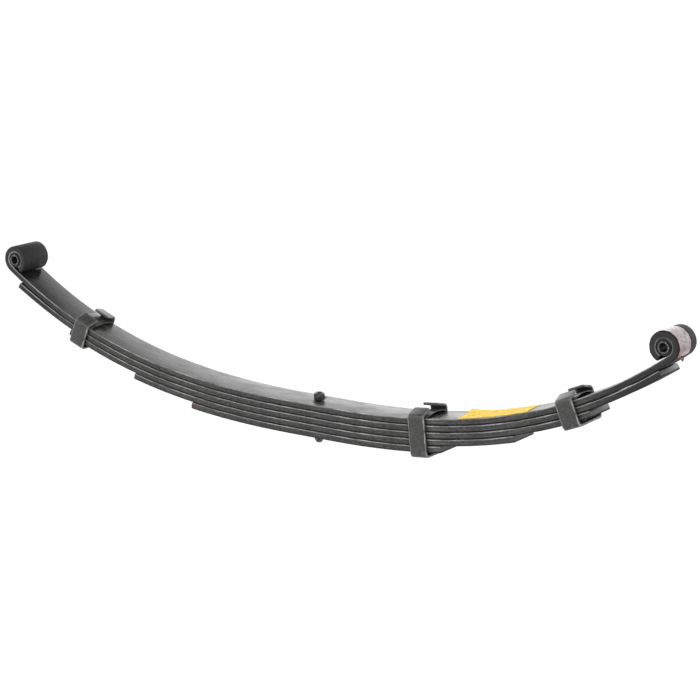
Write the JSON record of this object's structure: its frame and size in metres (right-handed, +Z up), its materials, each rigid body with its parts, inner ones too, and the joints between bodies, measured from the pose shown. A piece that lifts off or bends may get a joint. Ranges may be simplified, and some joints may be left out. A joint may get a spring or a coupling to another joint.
{
  "type": "leaf spring",
  "caption": "Semi-elliptic multi-leaf suspension spring with rolled upturned eyes, rubber bushes, rebound clips, centre bolt and a yellow label.",
  "frame": {"origin": "centre of the end face of the centre bolt's head, which drops into the axle pad; the seat of the shortest leaf is 16 mm above it", "axes": "+X along the spring towards the right-hand eye, +Y across the leaves, +Z up, from the seat to the nut; the eyes are at the top"},
  "size_m": [1.3504, 0.076, 0.2856],
  "materials": {
    "leaf_paint": "satin black paint over rolled spring steel",
    "clip_paint": "satin black paint over sheared and bent steel strap",
    "black_oxide_steel": "black oxide, oiled",
    "label_vinyl": "printed yellow vinyl",
    "bush_rubber": "moulded black rubber",
    "sleeve_steel": "dark phosphated steel tube",
    "tape_film": "clear packing tape, yellowed and crinkled"
  },
  "bodies": {
    "leaf_pack": {"main_leaf": "leaf_paint", "second_leaf": "leaf_paint", "third_leaf": "leaf_paint", "fourth_leaf": "leaf_paint", "fifth_leaf": "leaf_paint", "centre_bolt": "black_oxide_steel", "centre_nut": "black_oxide_steel", "left_clip_strap": "clip_paint", "left_clip_liner": "clip_paint", "left_clip_rivet": "clip_paint", "middle_clip_strap": "clip_paint", "middle_clip_liner": "clip_paint", "middle_clip_rivet": "clip_paint", "right_clip_strap": "clip_paint", "right_clip_liner": "clip_paint", "right_clip_rivet": "clip_paint", "yellow_label": "label_vinyl"},
    "left_eye_end": {"left_rubber_bush": "bush_rubber"},
    "left_sleeve": {"left_inner_sleeve": "sleeve_steel"},
    "right_eye_end": {"right_rubber_bush": "bush_rubber", "eye_tape": "tape_film"},
    "right_sleeve": {"right_inner_sleeve": "sleeve_steel"}
  },
  "joints": [
    {"name": "left_arm_flex", "type": "hinge", "parent": "leaf_pack", "child": "left_eye_end", "pos_m": [-0.16145, 0, 0.05342], "axis": [0, -1, 0], "range_deg": [-2, 18], "stiffness_Nm_per_rad": 12300, "deforming": ["main_leaf", "second_leaf", "third_leaf", "fourth_leaf"]},
    {"name": "right_arm_flex", "type": "hinge", "parent": "leaf_pack", "child": "right_eye_end", "pos_m": [0.16158, 0, 0.05373], "axis": [0, 1, 0], "range_deg": [-2, 18], "stiffness_Nm_per_rad": 12300, "deforming": ["main_leaf", "second_leaf", "third_leaf", "fourth_leaf"]},
    {"name": "left_sleeve_twist", "type": "hinge", "parent": "left_eye_end", "child": "left_sleeve", "pos_m": [-0.64869, 0, 0.24393], "axis": [0, 1, 0], "range_deg": [-15, 15], "stiffness_Nm_per_rad": 60},
    {"name": "right_sleeve_twist", "type": "hinge", "parent": "right_eye_end", "child": "right_sleeve", "pos_m": [0.65079, 0, 0.2598], "axis": [0, 1, 0], "range_deg": [-15, 15], "stiffness_Nm_per_rad": 60}
  ]
}
